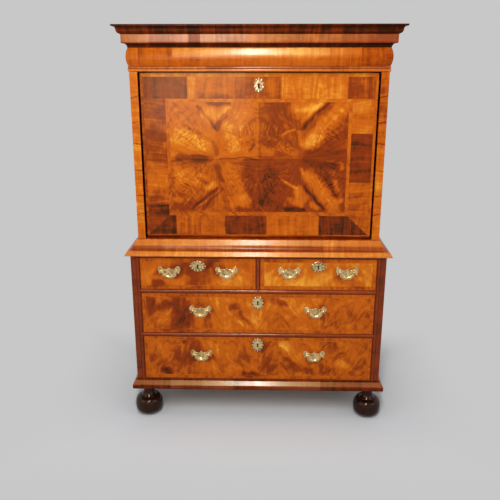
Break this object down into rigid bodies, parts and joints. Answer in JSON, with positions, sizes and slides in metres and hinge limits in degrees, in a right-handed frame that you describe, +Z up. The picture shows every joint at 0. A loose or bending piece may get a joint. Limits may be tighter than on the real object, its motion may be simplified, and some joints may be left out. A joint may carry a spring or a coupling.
{
  "type": "escritoire",
  "caption": "Fall-front writing cabinet with pigeonholes, on a chest of drawers with bun feet; fall, drawers and bails move.",
  "frame": {"origin": "on the floor, in the middle of the plan", "axes": "+X to the right seen from the front, +Y to the back, +Z up"},
  "size_m": [1.0824, 0.4952, 1.623],
  "materials": {
    "walnut_case": "polished walnut veneer",
    "walnut_fronts": "polished figured walnut veneer",
    "walnut_moulding": "polished cross-grain walnut",
    "walnut_interior": "waxed walnut",
    "oak_lining": "unpolished oak and pine",
    "black_feet": "ebonised and polished",
    "brass": "cast brass, lightly worn",
    "writing_leather": "tooled leather"
  },
  "bodies": {
    "root": {"base_side_left": "walnut_case", "base_side_right": "walnut_case", "upper_side_left": "walnut_case", "upper_side_right": "walnut_case", "dust_board_lower": "walnut_case", "dust_board_upper": "walnut_case", "cornice": "walnut_moulding", "frieze_surround": "walnut_moulding", "waist_moulding": "walnut_moulding", "plinth_moulding": "walnut_moulding", "base_top_board": "oak_lining", "base_bottom_board": "oak_lining", "base_back": "oak_lining", "upper_back": "oak_lining", "frieze_board": "oak_lining", "foot_front_left": "black_feet", "foot_front_right": "black_feet", "foot_rear_left": "black_feet", "foot_rear_right": "black_feet", "upper_floor": "walnut_interior", "pigeonhole_nest": "walnut_interior"},
    "fall": {"fall_panel": "walnut_fronts", "stay_left": "brass", "stay_right": "brass", "fall_escutcheon": "brass"},
    "frieze_drawer": {"frieze_drawer_front": "walnut_fronts", "frieze_drawer_box": "oak_lining"},
    "short_drawer_left": {"short_drawer_left_front": "walnut_fronts", "short_drawer_left_box": "oak_lining", "short_drawer_left_escutcheon": "brass", "short_drawer_left_handle_left_plate": "brass", "short_drawer_left_handle_right_plate": "brass"},
    "short_drawer_left_bail_left": {"short_drawer_left_handle_left_bail": "brass"},
    "short_drawer_left_bail_right": {"short_drawer_left_handle_right_bail": "brass"},
    "short_drawer_right": {"short_drawer_right_front": "walnut_fronts", "short_drawer_right_box": "oak_lining", "short_drawer_right_escutcheon": "brass", "short_drawer_right_handle_left_plate": "brass", "short_drawer_right_handle_right_plate": "brass"},
    "short_drawer_right_bail_left": {"short_drawer_right_handle_left_bail": "brass"},
    "short_drawer_right_bail_right": {"short_drawer_right_handle_right_bail": "brass"},
    "middle_drawer": {"middle_drawer_front": "walnut_fronts", "middle_drawer_box": "oak_lining", "middle_drawer_escutcheon": "brass", "middle_drawer_handle_left_plate": "brass", "middle_drawer_handle_right_plate": "brass"},
    "middle_drawer_bail_left": {"middle_drawer_handle_left_bail": "brass"},
    "middle_drawer_bail_right": {"middle_drawer_handle_right_bail": "brass"},
    "lower_drawer": {"lower_drawer_front": "walnut_fronts", "lower_drawer_box": "oak_lining", "lower_drawer_escutcheon": "brass", "lower_drawer_handle_left_plate": "brass", "lower_drawer_handle_right_plate": "brass"},
    "lower_drawer_bail_left": {"lower_drawer_handle_left_bail": "brass"},
    "lower_drawer_bail_right": {"lower_drawer_handle_right_bail": "brass"},
    "small_drawer_lower_left": {"small_drawer_lower_left": "walnut_interior"},
    "small_drawer_lower_centre": {"small_drawer_lower_centre": "walnut_interior"},
    "small_drawer_lower_right": {"small_drawer_lower_right": "walnut_interior"},
    "small_drawer_upper_left": {"small_drawer_upper_left": "walnut_interior"},
    "small_drawer_upper_right": {"small_drawer_upper_right": "walnut_interior"}
  },
  "joints": [
    {"name": "fall_hinge", "type": "hinge", "parent": "root", "child": "fall", "pos_m": [0, -0.1671, 0.8165], "axis": [1, 0, 0], "range_deg": [0, 90]},
    {"name": "frieze_drawer_slide", "type": "slide", "parent": "root", "child": "frieze_drawer", "axis": [0, -1, 0], "range_m": [0, 0.3]},
    {"name": "short_drawer_left_slide", "type": "slide", "parent": "root", "child": "short_drawer_left", "axis": [0, -1, 0], "range_m": [0, 0.32]},
    {"name": "short_drawer_left_bail_left_swing", "type": "hinge", "parent": "short_drawer_left", "child": "short_drawer_left_bail_left", "pos_m": [-0.3638, -0.2365, 0.67725], "axis": [-1, 0, 0], "range_deg": [0, 100]},
    {"name": "short_drawer_left_bail_right_swing", "type": "hinge", "parent": "short_drawer_left", "child": "short_drawer_left_bail_right", "pos_m": [-0.1282, -0.2365, 0.67725], "axis": [-1, 0, 0], "range_deg": [0, 100]},
    {"name": "short_drawer_right_slide", "type": "slide", "parent": "root", "child": "short_drawer_right", "axis": [0, -1, 0], "range_m": [0, 0.32]},
    {"name": "short_drawer_right_bail_left_swing", "type": "hinge", "parent": "short_drawer_right", "child": "short_drawer_right_bail_left", "pos_m": [0.1282, -0.2365, 0.67725], "axis": [-1, 0, 0], "range_deg": [0, 100]},
    {"name": "short_drawer_right_bail_right_swing", "type": "hinge", "parent": "short_drawer_right", "child": "short_drawer_right_bail_right", "pos_m": [0.3638, -0.2365, 0.67725], "axis": [-1, 0, 0], "range_deg": [0, 100]},
    {"name": "middle_drawer_slide", "type": "slide", "parent": "root", "child": "middle_drawer", "axis": [0, -1, 0], "range_m": [0, 0.32]},
    {"name": "middle_drawer_bail_left_swing", "type": "hinge", "parent": "middle_drawer", "child": "middle_drawer_bail_left", "pos_m": [-0.2398, -0.2365, 0.50525], "axis": [-1, 0, 0], "range_deg": [0, 100]},
    {"name": "middle_drawer_bail_right_swing", "type": "hinge", "parent": "middle_drawer", "child": "middle_drawer_bail_right", "pos_m": [0.2398, -0.2365, 0.50525], "axis": [-1, 0, 0], "range_deg": [0, 100]},
    {"name": "lower_drawer_slide", "type": "slide", "parent": "root", "child": "lower_drawer", "axis": [0, -1, 0], "range_m": [0, 0.32]},
    {"name": "lower_drawer_bail_left_swing", "type": "hinge", "parent": "lower_drawer", "child": "lower_drawer_bail_left", "pos_m": [-0.2398, -0.2365, 0.303], "axis": [-1, 0, 0], "range_deg": [0, 100]},
    {"name": "lower_drawer_bail_right_swing", "type": "hinge", "parent": "lower_drawer", "child": "lower_drawer_bail_right", "pos_m": [0.2398, -0.2365, 0.303], "axis": [-1, 0, 0], "range_deg": [0, 100]},
    {"name": "small_drawer_lower_left_slide", "type": "slide", "parent": "root", "child": "small_drawer_lower_left", "axis": [0, -1, 0], "range_m": [0, 0.05]},
    {"name": "small_drawer_lower_centre_slide", "type": "slide", "parent": "root", "child": "small_drawer_lower_centre", "axis": [0, -1, 0], "range_m": [0, 0.05]},
    {"name": "small_drawer_lower_right_slide", "type": "slide", "parent": "root", "child": "small_drawer_lower_right", "axis": [0, -1, 0], "range_m": [0, 0.05]},
    {"name": "small_drawer_upper_left_slide", "type": "slide", "parent": "root", "child": "small_drawer_upper_left", "axis": [0, -1, 0], "range_m": [0, 0.05]},
    {"name": "small_drawer_upper_right_slide", "type": "slide", "parent": "root", "child": "small_drawer_upper_right", "axis": [0, -1, 0], "range_m": [0, 0.05]}
  ]
}
